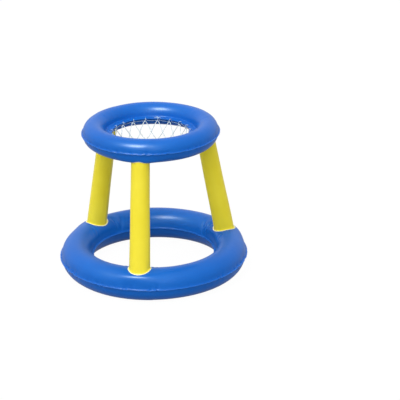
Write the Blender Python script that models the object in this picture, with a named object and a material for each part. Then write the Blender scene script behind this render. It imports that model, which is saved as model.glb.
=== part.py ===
"""An inflatable floating basketball hoop for a pool.

Two air-filled rings, a wide one that floats and a smaller one that is the hoop, are held
apart by three leaning air-filled legs. Each ring is two flat vinyl rings welded together
round their outer and inner edges. A net hangs inside the hoop, laced to its inner flange.
Metres, +Z up, origin on the surface that the floating ring rests on, at the common centre.
"""

import math
from collections import namedtuple

import bmesh
import bpy
from mathutils import Matrix, Vector

for old in list(bpy.data.objects):
    bpy.data.objects.remove(old, do_unlink=True)

# Sheet vinyl, welds and fits
sheet_gauge = 0.0004
seat_gap = 0.0003
outer_fin = 0.003
overrun = 0.004
merge_distance = 0.0000003

# Rings and overall size, over the welded edges
overall_height = 0.5025
base_outer_diameter = 0.610
base_tube_diameter = 0.102
base_inner_fin = 0.005
hoop_outer_diameter = 0.441
hoop_tube_diameter = 0.074
hoop_inner_flange = 0.0215

# Legs
leg_count = 3
leg_foot_diameter = 0.066
leg_top_diameter = 0.058
leg_foot_weld_width = 0.0042
leg_top_weld_width = 0.0020
leg_lap_width = 0.009
leg_port_diameter = 0.012
leg_pull_reach = 0.070

# Net and the cord that laces it to the hoop's flange
net_loops = 19
net_cord = 0.0026
net_knot = 0.0064
net_loop_bend = 0.0035
net_hang = 0.0055
net_first_row = 0.0335
net_second_row = 0.0250
net_narrowing = 0.018
lace_cord = 0.0022
lace_hole_diameter = 0.006
lace_land = 0.004
lace_slack = 0.0010
lace_advance = 0.006
lace_sag = 0.0015
lace_tie_diameter = 0.0066
lace_tail_length = 0.011
lace_tail_diameter = 0.0022
lace_tail_rise = 0.0012

# Air valves
valve_flange_diameter = 0.0148
valve_flange_thickness = 0.0010
valve_flange_bevel = 0.0005
valve_collar_wall = 0.0011
valve_collar_height = 0.0013
stem_diameter = 0.0086
stem_bore = 0.0062
stem_travel = 0.0055
stem_skirt_width = 0.0013
stem_skirt_thickness = 0.0008
stem_inner_length = 0.0030
stem_rim_width = 0.0008
stem_rim_thickness = 0.0010
stem_ear_inset = 0.0001
slide_clearance = 0.0003
stopper_head_thickness = 0.0012
stopper_bevel = 0.0004
stopper_plug_length = 0.0034
stopper_plug_clearance = 0.0004
stopper_plug_taper = 0.0006
strap_width = 0.0030
strap_thickness = 0.0008
strap_inset = 0.0002
flap_thickness = 0.0005
flap_hinge_gap = 0.0003

# Facets of the round forms; half a tube has an odd count, so that a ring rests on a flat band
half_tube_facets = 7
base_steps = 36
leg_sides = 16
hole_sides = 8
valve_sides = 16
cord_bevel_resolution = 1
loop_bend_steps = 2
cut_edge_steps = 1
lace_wrap_steps = 8
lace_run_steps = 1
lace_squareness = 3.0
knot_cord_share = 0.6
leg_aim_share = 0.5
leg_pull_share = 3.5
leg_weld_depth_share = 0.6

# Which flat facet of a ring carries each valve: steps round the ring, facets over its tube
hoop_valve_step = 22
hoop_valve_facet = 6
base_valve_step = 4
base_valve_facet = 6

front = -math.pi / 2
back = math.pi / 2

Ring = namedtuple("Ring", "centre_radius tube_radius height steps first_angle inner_edge leg_side")

base_ring = Ring(
    centre_radius=(base_outer_diameter - base_tube_diameter) / 2 - outer_fin,
    tube_radius=base_tube_diameter / 2,
    height=base_tube_diameter / 2 * math.cos(math.pi / 2 / half_tube_facets),
    steps=base_steps,
    first_angle=front - math.pi / base_steps,
    inner_edge=base_outer_diameter / 2 - outer_fin - base_tube_diameter - base_inner_fin,
    leg_side=1,
)
hoop_ring = Ring(
    centre_radius=(hoop_outer_diameter - hoop_tube_diameter) / 2 - outer_fin,
    tube_radius=hoop_tube_diameter / 2,
    height=overall_height - hoop_tube_diameter / 2 * math.cos(math.pi / 2 / half_tube_facets),
    steps=2 * net_loops,
    first_angle=back - math.pi / (2 * net_loops),
    inner_edge=hoop_outer_diameter / 2 - outer_fin - hoop_tube_diameter - hoop_inner_flange,
    leg_side=-1,
)


def vinyl(name, colour, roughness):
    """A plain glossy plastic of one colour."""
    made = bpy.data.materials.new(name)
    made.use_nodes = True
    shader = made.node_tree.nodes["Principled BSDF"]
    shader.inputs["Base Color"].default_value = (*colour, 1.0)
    shader.inputs["Roughness"].default_value = roughness
    shader.inputs["Metallic"].default_value = 0.0
    return made


def finished(bm, name, material=None, shade_angle=math.radians(35)):
    """The object of a closed mesh, with its faces turned outwards and round stretches smooth."""
    bmesh.ops.recalc_face_normals(bm, faces=bm.faces)
    mesh = bpy.data.meshes.new(name)
    bm.to_mesh(mesh)
    bm.free()
    mesh.shade_smooth()
    mesh.set_sharp_from_angle(angle=shade_angle)
    made = bpy.data.objects.new(name, mesh)
    bpy.context.scene.collection.objects.link(made)
    if material:
        mesh.materials.append(material)
    else:
        made.hide_render = True
        made.display_type = "WIRE"
    return made


def turned(name, profile, steps, first_angle=0.0, material=None):
    """A closed outline of (radius, height) points turned once round Z."""
    bm = bmesh.new()
    rim = [bm.verts.new((radius, 0.0, height)) for radius, height in profile]
    off_axis = [i for i in range(len(rim)) if profile[i - 1][0] or profile[i][0]]
    edges = [bm.edges.new((rim[i - 1], rim[i])) for i in off_axis]
    bmesh.ops.rotate(bm, verts=rim, cent=(0, 0, 0), matrix=Matrix.Rotation(first_angle, 3, "Z"))
    bmesh.ops.spin(
        bm, geom=rim + edges, cent=(0, 0, 0), axis=(0, 0, 1), angle=math.tau, steps=steps, use_merge=True
    )
    bmesh.ops.remove_doubles(bm, verts=bm.verts, dist=merge_distance)
    return finished(bm, name, material)


def block(name, low, high):
    """A hidden box between two corners, for a Boolean."""
    bm = bmesh.new()
    middle = [(a + b) / 2 for a, b in zip(low, high)]
    size = [b - a for a, b in zip(low, high)]
    bmesh.ops.create_cube(bm, size=1.0, matrix=Matrix.LocRotScale(middle, None, size))
    return finished(bm, name)


def combine(target, other, operation):
    """An exact Boolean on target; other stays hidden."""
    modifier = target.modifiers.new(other.name, "BOOLEAN")
    modifier.operation = operation
    modifier.object = other
    modifier.solver = "EXACT"


def place(obj, matrix):
    """Puts an object by its location and rotation alone."""
    obj.location = matrix.to_translation()
    obj.rotation_euler = matrix.to_euler()


def skin_point(ring, tube_angle, ring_angle, radius):
    """A point at this radius from the ring's tube centre line."""
    reach = ring.centre_radius + radius * math.cos(tube_angle)
    height = ring.height + radius * math.sin(tube_angle)
    return Vector((reach * math.cos(ring_angle), reach * math.sin(ring_angle), height))


def sheet_outline(ring, side):
    """The cut through one sheet of a ring: an arch between two flat weld fins."""
    weld_face = seat_gap / 2
    fin_face = weld_face + sheet_gauge
    tip = ring.centre_radius + ring.tube_radius + outer_fin
    outside = [(tip, fin_face)]
    inside = [(tip, weld_face)]
    for step in range(half_tube_facets + 1):
        turn = math.pi * step / half_tube_facets
        for line, radius, face in (
            (outside, ring.tube_radius, fin_face),
            (inside, ring.tube_radius - sheet_gauge, weld_face),
        ):
            reach = ring.centre_radius + radius * math.cos(turn)
            line.append((reach, max(face, radius * math.sin(turn))))
    outside.append((ring.inner_edge, fin_face))
    inside.append((ring.inner_edge, weld_face))
    return [(reach, ring.height + side * rise) for reach, rise in outside + inside[::-1]]


def leg_pull(ring, reach, height, ring_angle):
    """How far the legs' ends draw the skin's flanks here towards the level of the ring's crest."""
    tube_angle = math.atan2(ring.leg_side * (height - ring.height), reach - ring.centre_radius)
    if tube_angle <= 0:
        return 0.0
    skin = skin_point(ring, tube_angle, ring_angle, ring.tube_radius)
    level = math.sin(tube_angle)
    nearness = 0.0
    for number in range(leg_count):
        crest = skin_point(ring, math.pi / 2, front + math.tau * number / leg_count, ring.tube_radius)
        nearness += math.exp(-(((skin - crest).xy.length / leg_pull_reach) ** 4))
    return ring.leg_side * leg_pull_share * nearness * ring.tube_radius * (level * (1 - level)) ** 2


def ring_surface(name, outline, ring, material=None):
    """A closed outline of (reach, height) points turned round the ring, with the legs' pull."""
    bm = bmesh.new()
    rims = []
    for step in range(ring.steps):
        ring_angle = ring.first_angle + math.tau * step / ring.steps
        out = Vector((math.cos(ring_angle), math.sin(ring_angle), 0.0))
        rim = []
        for reach, height in outline:
            up = height + leg_pull(ring, reach, height, ring_angle)
            rim.append(bm.verts.new(out * reach + Vector((0.0, 0.0, up))))
        rims.append(rim)
    for step in range(ring.steps):
        here, there = rims[step - 1], rims[step]
        for point in range(len(outline)):
            inner, outer = sorted((point - 1, point), key=lambda index: outline[index][0])
            bm.faces.new((here[outer], here[inner], there[inner]))
            bm.faces.new((here[outer], there[inner], there[outer]))
    return finished(bm, name, material)


def envelope(name, ring, offset):
    """The ring's closed outer surface, this much larger all round, for trimming what meets it."""
    outline = []
    for step in range(2 * half_tube_facets):
        turn = math.pi * step / half_tube_facets
        radius = ring.tube_radius + offset
        reach = ring.centre_radius + radius * math.cos(turn)
        outline.append((reach, ring.height + radius * math.sin(turn)))
    return ring_surface(name, outline, ring)


def ring_sheet(name, ring, side, material):
    return ring_surface(name, sheet_outline(ring, side), ring, material)


# Legs: rolled sheet tubes with a lap seam, their ends spread into a weld on each ring


def skin_crossing(ring, inside, direction):
    """Where a line from a point straight over or under the tube's centre leaves the ring's skin."""
    off_centre = inside.z - ring.height
    along = off_centre * direction.z
    return inside + direction * (math.sqrt(along**2 - off_centre**2 + ring.tube_radius**2) - along)


def leg_frame(ring_angle):
    """Where a leg's centre line leaves the floating ring's skin, turned so that Z runs up that line."""
    low = skin_point(base_ring, math.pi / 2, ring_angle, base_ring.tube_radius * leg_aim_share)
    high = skin_point(hoop_ring, -math.pi / 2, ring_angle, hoop_ring.tube_radius * leg_aim_share)
    up = (high - low).normalized()
    foot = skin_crossing(base_ring, low, up)
    top = skin_crossing(hoop_ring, high, -up)
    inward = Vector((-math.cos(ring_angle), -math.sin(ring_angle), 0.0))
    side = up.cross(inward).normalized()
    inward = side.cross(up)
    turn = Matrix((inward, side, up)).transposed().to_4x4()
    return Matrix.Translation(foot) @ turn, (top - foot).length


def leg_radius(height, length):
    share = height / length
    return (leg_foot_diameter * (1 - share) + leg_top_diameter * share) / 2


def leg_tube(name, length, material):
    """The tube runs past both crests, to be trimmed there. Its lap seam faces the middle."""
    bm = bmesh.new()
    loops = []
    for height in (-base_ring.tube_radius, length + hoop_ring.tube_radius):
        radius = leg_radius(height, length)
        lap_edge = leg_lap_width / 2 / radius
        plain = lap_edge + sheet_gauge / radius
        pitch = (math.tau - 2 * plain) / (leg_sides - 3)
        angles = [-lap_edge, lap_edge] + [plain + pitch * i for i in range(leg_sides - 2)]
        outer = [radius + sheet_gauge] * 2 + [radius] * (leg_sides - 2)
        inner = [radius - sheet_gauge] * leg_sides
        for line in (outer, inner):
            rim = [(r * math.cos(a), r * math.sin(a), height) for r, a in zip(line, angles)]
            loops.append([bm.verts.new(point) for point in rim])
    low_outer, low_inner, high_outer, high_inner = loops
    rounds = (low_outer, high_outer, high_inner, low_inner)
    for k in range(len(rounds)):
        for i in range(leg_sides):
            bm.faces.new((rounds[k - 1][i - 1], rounds[k - 1][i], rounds[k][i], rounds[k][i - 1]))
    return finished(bm, name, material)


def weld_collar(name, length, low, high, width, skin):
    """The flat margin that is welded to a ring, cut from a sleeve by a skin of the ring's own shape."""
    outline = []
    inside_facets = math.cos(math.tau / leg_sides)
    for height in (low, high):
        outline.append((leg_radius(height, length) * inside_facets, height))
    for height in (high, low):
        outline.append((leg_radius(height, length) + width, height))
    collar = turned(name, outline, leg_sides, math.pi / leg_sides)
    combine(collar, skin, "INTERSECT")
    return collar


def leg(name, ring_angle, material, skins, trims):
    frame, length = leg_frame(ring_angle)
    tube = leg_tube(name, length, material)
    foot_low = -base_ring.tube_radius * leg_weld_depth_share
    top_high = length + hoop_ring.tube_radius * leg_weld_depth_share
    foot_width, top_width = leg_foot_weld_width, leg_top_weld_width
    foot = weld_collar(name + "_foot_weld", length, foot_low, foot_width, foot_width, skins[0])
    top = weld_collar(name + "_top_weld", length, length - top_width, top_high, top_width, skins[1])
    for piece in (tube, foot, top):
        place(piece, frame)
    for collar in (foot, top):
        combine(tube, collar, "UNION")
    for trim in trims:
        combine(tube, trim, "DIFFERENCE")
    return tube


def leg_ports():
    """Cutters for the holes through which the hoop's air fills the legs."""
    made = []
    for number in range(leg_count):
        frame, length = leg_frame(front + math.tau * number / leg_count)
        low, high = length - overrun, length + hoop_ring.tube_radius / 2
        radius = leg_port_diameter / 2
        outline = [(0, low), (radius, low), (radius, high), (0, high)]
        port = turned(f"leg_port_{number}", outline, hole_sides)
        place(port, frame)
        made.append(port)
    return made


# Net and lacing. The lacing's turns are angles round the flange's edge, from outwards over the top

lace_start_turn = -math.pi / 8
in_the_hole = 0.0
under_flange = 1.5 * math.pi


def loop_angle(phase):
    """Phase counts net loops round the hoop from the one at the back."""
    return back + math.tau * phase / net_loops


def mouth_edge():
    """The flange's inner edge beside a loop, where it is a straight facet."""
    return hoop_ring.inner_edge * math.cos(math.pi / hoop_ring.steps)


def lace_ring():
    """Centre and half widths of the turn that the lacing makes round the flange's edge."""
    outer = mouth_edge() + lace_land + lace_hole_diameter / 2
    inner = mouth_edge() - lace_slack - lace_cord / 2
    flange = seat_gap / 2 + sheet_gauge
    top = hoop_ring.height + flange + lace_slack + lace_cord / 2
    bottom = net_top() - net_cord / 2 - seat_gap - lace_cord / 2
    return (outer + inner) / 2, (outer - inner) / 2, (top + bottom) / 2, (top - bottom) / 2


def net_top():
    """Height of the cord's centre at the top of each loop, which hangs a little below the flange."""
    return hoop_ring.height - seat_gap / 2 - sheet_gauge - net_hang - net_cord / 2


def net_radius(height):
    """The net narrows evenly from the flange to its lower edge."""
    share = (net_top() - height) / (net_first_row + net_second_row)
    return lace_ring()[0] - net_narrowing * share


def row_flank(half_pitch, drop, bend_steps):
    """One flank of a net row as (along, down): half a round bend, then straight to the knot."""
    lean = math.atan2(drop - net_loop_bend, half_pitch)
    slope = lean + math.asin(net_loop_bend / math.hypot(half_pitch, drop - net_loop_bend))
    turns = [slope * point / bend_steps for point in range(bend_steps + 1)]
    bend = [(net_loop_bend * math.sin(turn), net_loop_bend * (1 - math.cos(turn))) for turn in turns]
    return bend + [(half_pitch, drop)]


def net_row(bend_height, knot_height, bend_steps):
    """One cord of the net: it turns in a round bend and meets the other row's cord at each knot."""
    half_pitch = math.pi * net_radius((bend_height + knot_height) / 2) / net_loops
    rise = math.copysign(1.0, knot_height - bend_height)
    flank = row_flank(half_pitch, abs(knot_height - bend_height), bend_steps)
    whole = flank + [(2 * half_pitch - along, down) for along, down in flank[-2:0:-1]]
    points = []
    for loop in range(net_loops):
        for along, down in whole:
            angle = loop_angle(loop + along / (2 * half_pitch))
            height = bend_height + rise * down
            radius = net_radius(height)
            points.append(Vector((radius * math.cos(angle), radius * math.sin(angle), height)))
    return points


def lace_share(turn):
    """How much of a wrap is done when the lacing has turned this far round the flange's edge."""
    return (turn - lace_start_turn) / math.tau


def lace_advance_share():
    """The share of the way from loop to loop that one wrap takes."""
    return lace_advance / (math.tau * lace_ring()[0] / net_loops)


def lacing_route():
    """Up through a hole, over the flange's edge, down, under the net's loop and on to the next hole."""
    centre, half_width, height, half_height = lace_ring()
    wrap_share = lace_advance_share()
    points = []

    def corner(value):
        return math.copysign(abs(value) ** (2 / lace_squareness), value)

    def add_point(loop, along, turn, sag):
        radius = centre + half_width * corner(math.cos(turn))
        rise = half_height * corner(math.sin(turn)) - sag
        angle = loop_angle(loop + along)
        points.append(Vector((radius * math.cos(angle), radius * math.sin(angle), height + rise)))

    for loop in range(net_loops):
        for point in range(lace_wrap_steps + 1):
            turned_share = point / lace_wrap_steps
            along = wrap_share * (turned_share - lace_share(under_flange))
            add_point(loop, along, lace_start_turn + math.tau * turned_share, 0.0)
        wrap_end = wrap_share * (1 - lace_share(under_flange))
        for point in range(1, lace_run_steps + 1):
            run_share = point / (lace_run_steps + 1)
            along = wrap_end + (1 - wrap_share) * run_share
            add_point(loop, along, lace_start_turn, lace_sag * math.sin(math.pi * run_share))
    return points


def round_bar(name, start, end, diameter):
    """A hidden straight round bar between two points, for a Boolean."""
    bm = bmesh.new()
    along = end - start
    turn = along.to_track_quat("Z", "Y").to_matrix().to_4x4()
    bmesh.ops.create_cone(
        bm,
        cap_ends=True,
        segments=hole_sides,
        radius1=diameter / 2,
        radius2=diameter / 2,
        depth=along.length,
        matrix=Matrix.Translation((start + end) / 2) @ turn,
    )
    return finished(bm, name)


def bead(name, centres, diameter):
    """Hidden round beads, which are knots once they are joined to a cord."""
    bm = bmesh.new()
    for centre in centres:
        turn = Matrix.Rotation(math.atan2(centre.y, centre.x), 4, "Z")
        spot = Matrix.Translation(centre) @ turn
        bmesh.ops.create_icosphere(bm, subdivisions=1, radius=diameter / 2, matrix=spot)
    return finished(bm, name)


def lacing_tie():
    """The knot that ties the lacing's two ends over the back loop, and a short tail to each side."""
    reach = lace_ring()[0]
    flange_top = hoop_ring.height + seat_gap / 2 + sheet_gauge
    knot = Vector((0.0, reach, flange_top + seat_gap + lace_tie_diameter / 2))
    tail_height = flange_top + seat_gap + lace_tail_diameter / 2 + lace_tail_rise
    made = [bead("lacing_knot", [knot], lace_tie_diameter)]
    for side in (-1, 1):
        tip = Vector((side * lace_tail_length, reach, tail_height))
        made.append(round_bar(f"lacing_tail_{side}", knot, tip, lace_tail_diameter))
    return made


def least_gap(points, diameter, apart_diameters=3):
    """The closest that a closed cord comes to itself, between points well apart along it."""
    count = len(points)
    steps = [(points[i] - points[i - 1]).length for i in range(count)]
    total = sum(steps)
    least = total
    for i in range(count):
        along = 0.0
        for j in range(i + 1, count):
            along += steps[j]
            if min(along, total - along) > apart_diameters * diameter:
                least = min(least, (points[i] - points[j]).length - diameter)
    return least


def cord_loop(name, points, diameter, material=None):
    """A six-sided closed cord through these points."""
    curve = bpy.data.curves.new(name + "_route", "CURVE")
    curve.dimensions = "3D"
    curve.bevel_depth = diameter / 2
    curve.bevel_resolution = cord_bevel_resolution
    spline = curve.splines.new("POLY")
    spline.points.add(len(points) - 1)
    for spline_point, point in zip(spline.points, points):
        spline_point.co.xyz = point
    spline.use_cyclic_u = True
    route = bpy.data.objects.new(name + "_route", curve)
    bpy.context.scene.collection.objects.link(route)
    bpy.context.view_layer.update()
    tube = route.evaluated_get(bpy.context.evaluated_depsgraph_get()).to_mesh()
    bm = bmesh.new()
    bm.from_mesh(tube)
    bpy.data.objects.remove(route)
    bmesh.ops.remove_doubles(bm, verts=bm.verts, dist=merge_distance)
    return finished(bm, name, material, shade_angle=math.radians(80))


def knot_centres(height):
    """Where the net's two cords meet, midway between loops."""
    radius = net_radius(height)
    angles = [loop_angle(loop + 0.5) for loop in range(net_loops)]
    return [Vector((radius * math.cos(angle), radius * math.sin(angle), height)) for angle in angles]


def net(material):
    knot_height = net_top() - net_first_row
    apart = net_cord * knot_cord_share
    upper = net_row(net_top(), knot_height + apart, loop_bend_steps)
    lower = net_row(knot_height - net_second_row, knot_height - apart, cut_edge_steps)
    print("net cords, least gap:", least_gap(upper, net_cord), least_gap(lower, net_cord))
    made = cord_loop("net", upper, net_cord, material)
    combine(made, cord_loop("net_lower_row", lower, net_cord), "UNION")
    combine(made, bead("net_knots", knot_centres(knot_height), net_knot), "UNION")
    return made


def lace_holes():
    """Cutters for the punched holes, each beside its loop, where the lacing comes up."""
    bm = bmesh.new()
    centre, half_width, _, _ = lace_ring()
    hole_phase = lace_advance_share() * (lace_share(in_the_hole) - lace_share(under_flange))
    depth = 2 * (seat_gap + sheet_gauge + overrun)
    for loop in range(net_loops):
        angle = loop_angle(loop + hole_phase)
        reach = centre + half_width
        spot = Matrix.Translation((reach * math.cos(angle), reach * math.sin(angle), hoop_ring.height))
        bmesh.ops.create_cone(
            bm,
            cap_ends=True,
            segments=hole_sides,
            radius1=lace_hole_diameter / 2,
            radius2=lace_hole_diameter / 2,
            depth=depth,
            matrix=spot @ Matrix.Rotation(angle, 4, "Z"),
        )
    return finished(bm, "lace_holes")


# Air valves: a flange welded on the ring, a stem that pushes in, a stopper on a strap, a check flap


def valve_seat(name, ring, ring_step, valve_facet):
    """An empty on the middle of a flat facet of the ring: X up the tube, Y along the ring, Z out."""
    corners = []
    for step in (ring_step, ring_step + 1):
        for facet in (valve_facet, valve_facet + 1):
            ring_angle = ring.first_angle + math.tau * step / ring.steps
            tube_angle = math.pi * facet / half_tube_facets
            corners.append(skin_point(ring, tube_angle, ring_angle, ring.tube_radius))
    along = (corners[2] - corners[0]).normalized()
    upward = ((corners[0] + corners[2]) - (corners[1] + corners[3])).normalized()
    out = upward.cross(along).normalized()
    middle = sum(corners, Vector()) / len(corners)
    seat = bpy.data.objects.new(name, None)
    seat.empty_display_size = valve_flange_diameter
    place(seat, Matrix.Translation(middle) @ Matrix((upward, along, out)).transposed().to_4x4())
    bpy.context.scene.collection.objects.link(seat)
    return seat


def stem_rim_top():
    """The rim stands clear of the collar by its travel and comes to rest just above it."""
    collar_top = seat_gap + valve_flange_thickness + valve_collar_height
    return collar_top + slide_clearance + stem_travel + stem_rim_thickness


def stopper_hinge():
    """Across from the stem's centre and up from the ring: the strap's fold, beside the stem's ear."""
    ear_end = stem_diameter / 2 + stem_rim_width + strap_thickness
    return ear_end + seat_gap + strap_thickness / 2, stem_rim_top() - stem_rim_thickness / 2


def valve_flange(name, material):
    bore = stem_diameter / 2 + slide_clearance
    face = seat_gap + valve_flange_thickness
    edge = valve_flange_diameter / 2
    collar = bore + valve_collar_wall
    outline = [
        (bore, seat_gap),
        (edge, seat_gap),
        (edge, face - valve_flange_bevel),
        (edge - valve_flange_bevel, face),
        (collar, face),
        (collar, face + valve_collar_height),
        (bore, face + valve_collar_height),
    ]
    return turned(name, outline, valve_sides, material=material)


def valve_stem(name, material):
    """A tube with a skirt that stops it behind the sheet, a rim, and an ear for the strap."""
    radius, bore, rim_top = stem_diameter / 2, stem_bore / 2, stem_rim_top()
    skirt_top = -sheet_gauge - seat_gap
    skirt_bottom = skirt_top - stem_skirt_thickness
    inner_end = skirt_top - stem_inner_length
    outline = [
        (bore, inner_end),
        (radius, inner_end),
        (radius, skirt_bottom),
        (radius + stem_skirt_width, skirt_bottom),
        (radius + stem_skirt_width, skirt_top),
        (radius, skirt_top),
        (radius, rim_top - stem_rim_thickness),
        (radius + stem_rim_width, rim_top - stem_rim_thickness),
        (radius + stem_rim_width, rim_top),
        (bore, rim_top),
    ]
    stem = turned(name, outline, valve_sides, material=material)
    rim = radius + stem_rim_width
    ear = block(
        name + "_ear",
        (radius, -strap_width / 2, rim_top - stem_rim_thickness + stem_ear_inset),
        (rim + strap_thickness, strap_width / 2, rim_top - stem_ear_inset),
    )
    combine(stem, ear, "UNION")
    return stem, ear


def valve_stopper(name, material):
    """A tapered plug under a round head, and the strap that folds beside the stem, its origin."""
    across, up = stopper_hinge()
    head_low = stem_rim_top() + seat_gap - up
    head_high = head_low + stopper_head_thickness
    head = stem_diameter / 2 + stem_rim_width
    plug = stem_bore / 2 - stopper_plug_clearance
    tip = head_low - stopper_plug_length
    outline = [
        (0, tip),
        (plug - stopper_plug_taper, tip),
        (plug, head_low - stopper_plug_clearance),
        (plug, head_low),
        (head, head_low),
        (head, head_high - stopper_bevel),
        (head - stopper_bevel, head_high),
        (0, head_high),
    ]
    stopper = turned(name, outline, valve_sides, material=material)
    for vertex in stopper.data.vertices:
        vertex.co.x -= across
    strap_low = head_low + strap_inset
    strap_high = strap_low + strap_thickness
    half = strap_thickness / 2
    run_start = head - 2 * stopper_bevel - across
    run = block(
        name + "_strap",
        (run_start, -strap_width / 2, strap_low),
        (half, strap_width / 2, strap_high),
    )
    fold = block(
        name + "_fold",
        (-half, strap_inset - strap_width / 2, -half),
        (half - strap_inset, strap_width / 2 - strap_inset, strap_high - strap_inset),
    )
    combine(run, fold, "UNION")
    combine(stopper, run, "UNION")
    return stopper, run, fold


def valve_flap(name, material):
    """The soft disc that closes the stem's inner end, hinged at one edge. Origin on that edge."""
    edge = stem_diameter / 2
    outline = [(0, 0), (edge, 0), (edge, -flap_thickness), (0, -flap_thickness)]
    flap = turned(name, outline, valve_sides, material=material)
    for vertex in flap.data.vertices:
        vertex.co.x -= edge
    return flap


def air_valve(name, ring, ring_step, valve_facet, materials):
    """One valve's four pieces on its seat. Returns the cutter for the hole in the ring's sheet."""
    seat = valve_seat(name + "_seat", ring, ring_step, valve_facet)
    across, up = stopper_hinge()
    inner_end = -sheet_gauge - seat_gap - stem_inner_length
    stem, ear = valve_stem(name + "_stem", materials["clear"])
    stopper, run, fold = valve_stopper(name + "_stopper", materials["stopper"])
    flap = valve_flap(name + "_check_flap", materials["flap"])
    flange = valve_flange(name + "_flange", materials["flange"])
    cutter_radius = stem_diameter / 2 + 2 * slide_clearance
    outline = [(0, -overrun), (cutter_radius, -overrun), (cutter_radius, overrun), (0, overrun)]
    hole = turned(name + "_hole", outline, valve_sides)
    places = {
        stem: (0, 0, 0),
        ear: (0, 0, 0),
        flange: (0, 0, 0),
        hole: (0, 0, 0),
        stopper: (across, 0, up),
        run: (across, 0, up),
        fold: (across, 0, up),
        flap: (stem_diameter / 2, 0, inner_end - flap_hinge_gap),
    }
    for piece, spot in places.items():
        piece.parent = seat
        piece.location = spot
    return hole


blue = (0.016, 0.125, 0.56)
yellow = (0.83, 0.73, 0.045)
white = (0.80, 0.86, 0.88)
clear_blue = (0.35, 0.62, 0.78)

upper_base = ring_sheet("base_ring_upper_sheet", base_ring, 1, vinyl("base, upper sheet", blue, 0.28))
lower_base = ring_sheet("base_ring_lower_sheet", base_ring, -1, vinyl("base, lower sheet", blue, 0.30))
upper_hoop = ring_sheet("hoop_ring_upper_sheet", hoop_ring, 1, vinyl("hoop, upper sheet", blue, 0.28))
lower_hoop = ring_sheet("hoop_ring_lower_sheet", hoop_ring, -1, vinyl("hoop, lower sheet", blue, 0.30))

skins = (
    envelope("base_weld_skin", base_ring, seat_gap + sheet_gauge),
    envelope("hoop_weld_skin", hoop_ring, seat_gap + sheet_gauge),
)
trims = (
    envelope("base_trim", base_ring, seat_gap),
    envelope("hoop_trim", hoop_ring, seat_gap),
)
for number, place_name in enumerate(("front", "right", "left")):
    leg_angle = front + math.tau * number / leg_count
    leg(f"leg_{place_name}", leg_angle, vinyl(f"leg, {place_name}", yellow, 0.32), skins, trims)

holes = lace_holes()
for sheet in (upper_hoop, lower_hoop):
    combine(sheet, holes, "DIFFERENCE")
for port in leg_ports():
    combine(lower_hoop, port, "DIFFERENCE")

route = lacing_route()
print("lacing, least gap:", least_gap(route, lace_cord))
lacing = cord_loop("net_lacing_cord", route, lace_cord, vinyl("lacing cord", white, 0.8))
for tie_piece in lacing_tie():
    combine(lacing, tie_piece, "UNION")
net(vinyl("net cord", white, 0.8))

for valve_name, ring, step, facet, sheet in (
    ("hoop_valve", hoop_ring, hoop_valve_step, hoop_valve_facet, upper_hoop),
    ("base_valve", base_ring, base_valve_step, base_valve_facet, upper_base),
):
    valve_finishes = {
        "flange": vinyl(valve_name + ", flange", clear_blue, 0.25),
        "clear": vinyl(valve_name + ", stem", clear_blue, 0.25),
        "stopper": vinyl(valve_name + ", stopper", clear_blue, 0.30),
        "flap": vinyl(valve_name + ", flap", clear_blue, 0.35),
    }
    combine(sheet, air_valve(valve_name, ring, step, facet, valve_finishes), "DIFFERENCE")
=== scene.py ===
import math

import bmesh
import bpy
import numpy as np
from mathutils import Matrix, Vector


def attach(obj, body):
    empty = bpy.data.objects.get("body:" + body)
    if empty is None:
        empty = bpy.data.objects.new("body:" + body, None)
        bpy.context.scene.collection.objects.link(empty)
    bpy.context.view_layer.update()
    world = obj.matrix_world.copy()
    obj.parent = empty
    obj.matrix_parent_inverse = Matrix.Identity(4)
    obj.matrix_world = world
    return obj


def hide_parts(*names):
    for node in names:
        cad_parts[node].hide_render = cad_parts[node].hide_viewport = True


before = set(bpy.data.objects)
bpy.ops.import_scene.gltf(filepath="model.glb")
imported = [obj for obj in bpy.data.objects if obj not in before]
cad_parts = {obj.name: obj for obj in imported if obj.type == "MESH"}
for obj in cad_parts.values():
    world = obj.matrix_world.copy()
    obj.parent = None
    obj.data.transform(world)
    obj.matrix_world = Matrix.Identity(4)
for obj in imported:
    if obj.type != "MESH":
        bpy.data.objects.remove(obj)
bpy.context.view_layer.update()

scene = bpy.context.scene

# Camera: it stands a little to the right of the front leg, 22 degrees above the floor and far back,
# so that both rings keep nearly the same proportions. The picture is rolled by a degree and a half.

image_pixels = 400
lens_pixels = 1672.9
centre_pixel = (152.77, 209.11)
look_at = Vector((0.0, 0.0, 0.2))
camera_distance = 5.406
camera_side = math.radians(10.7)
camera_rise = math.radians(22.006)
camera_roll = math.radians(-1.5533)

towards_camera = Vector((
    math.sin(camera_side) * math.cos(camera_rise),
    -math.cos(camera_side) * math.cos(camera_rise),
    math.sin(camera_rise),
))
level_right = (-towards_camera).cross(Vector((0, 0, 1))).normalized()
level_up = level_right.cross(-towards_camera)
right = level_right * math.cos(camera_roll) + level_up * math.sin(camera_roll)
up = level_up * math.cos(camera_roll) - level_right * math.sin(camera_roll)
aside = (image_pixels / 2 - centre_pixel[0]) / lens_pixels
above = (centre_pixel[1] - image_pixels / 2) / lens_pixels
forward = (right * aside + up * above - towards_camera).normalized()
right = forward.cross(up).normalized()
up = right.cross(forward)
camera_data = bpy.data.cameras.new("camera")
camera_data.sensor_fit = "HORIZONTAL"
camera_data.sensor_width = 36.0
camera_data.lens = lens_pixels / image_pixels * camera_data.sensor_width
camera = bpy.data.objects.new("camera", camera_data)
camera.matrix_world = Matrix.Translation(look_at + towards_camera * camera_distance) @ Matrix(
    (right, up, -forward)
).transposed().to_4x4()
scene.collection.objects.link(camera)
scene.camera = camera
scene.view_settings.view_transform = "Standard"

# Floating ring: two flat rings of blue vinyl, heat-welded round the outer and the inner edge and
# blown up into a fat tube. The outer weld has more length than the tube can take up, so it puckers.
# The legs pull creases into the inner wall on both sides of each foot.

vinyl_gauge = 0.0004
chance = np.random.default_rng(11)

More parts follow.
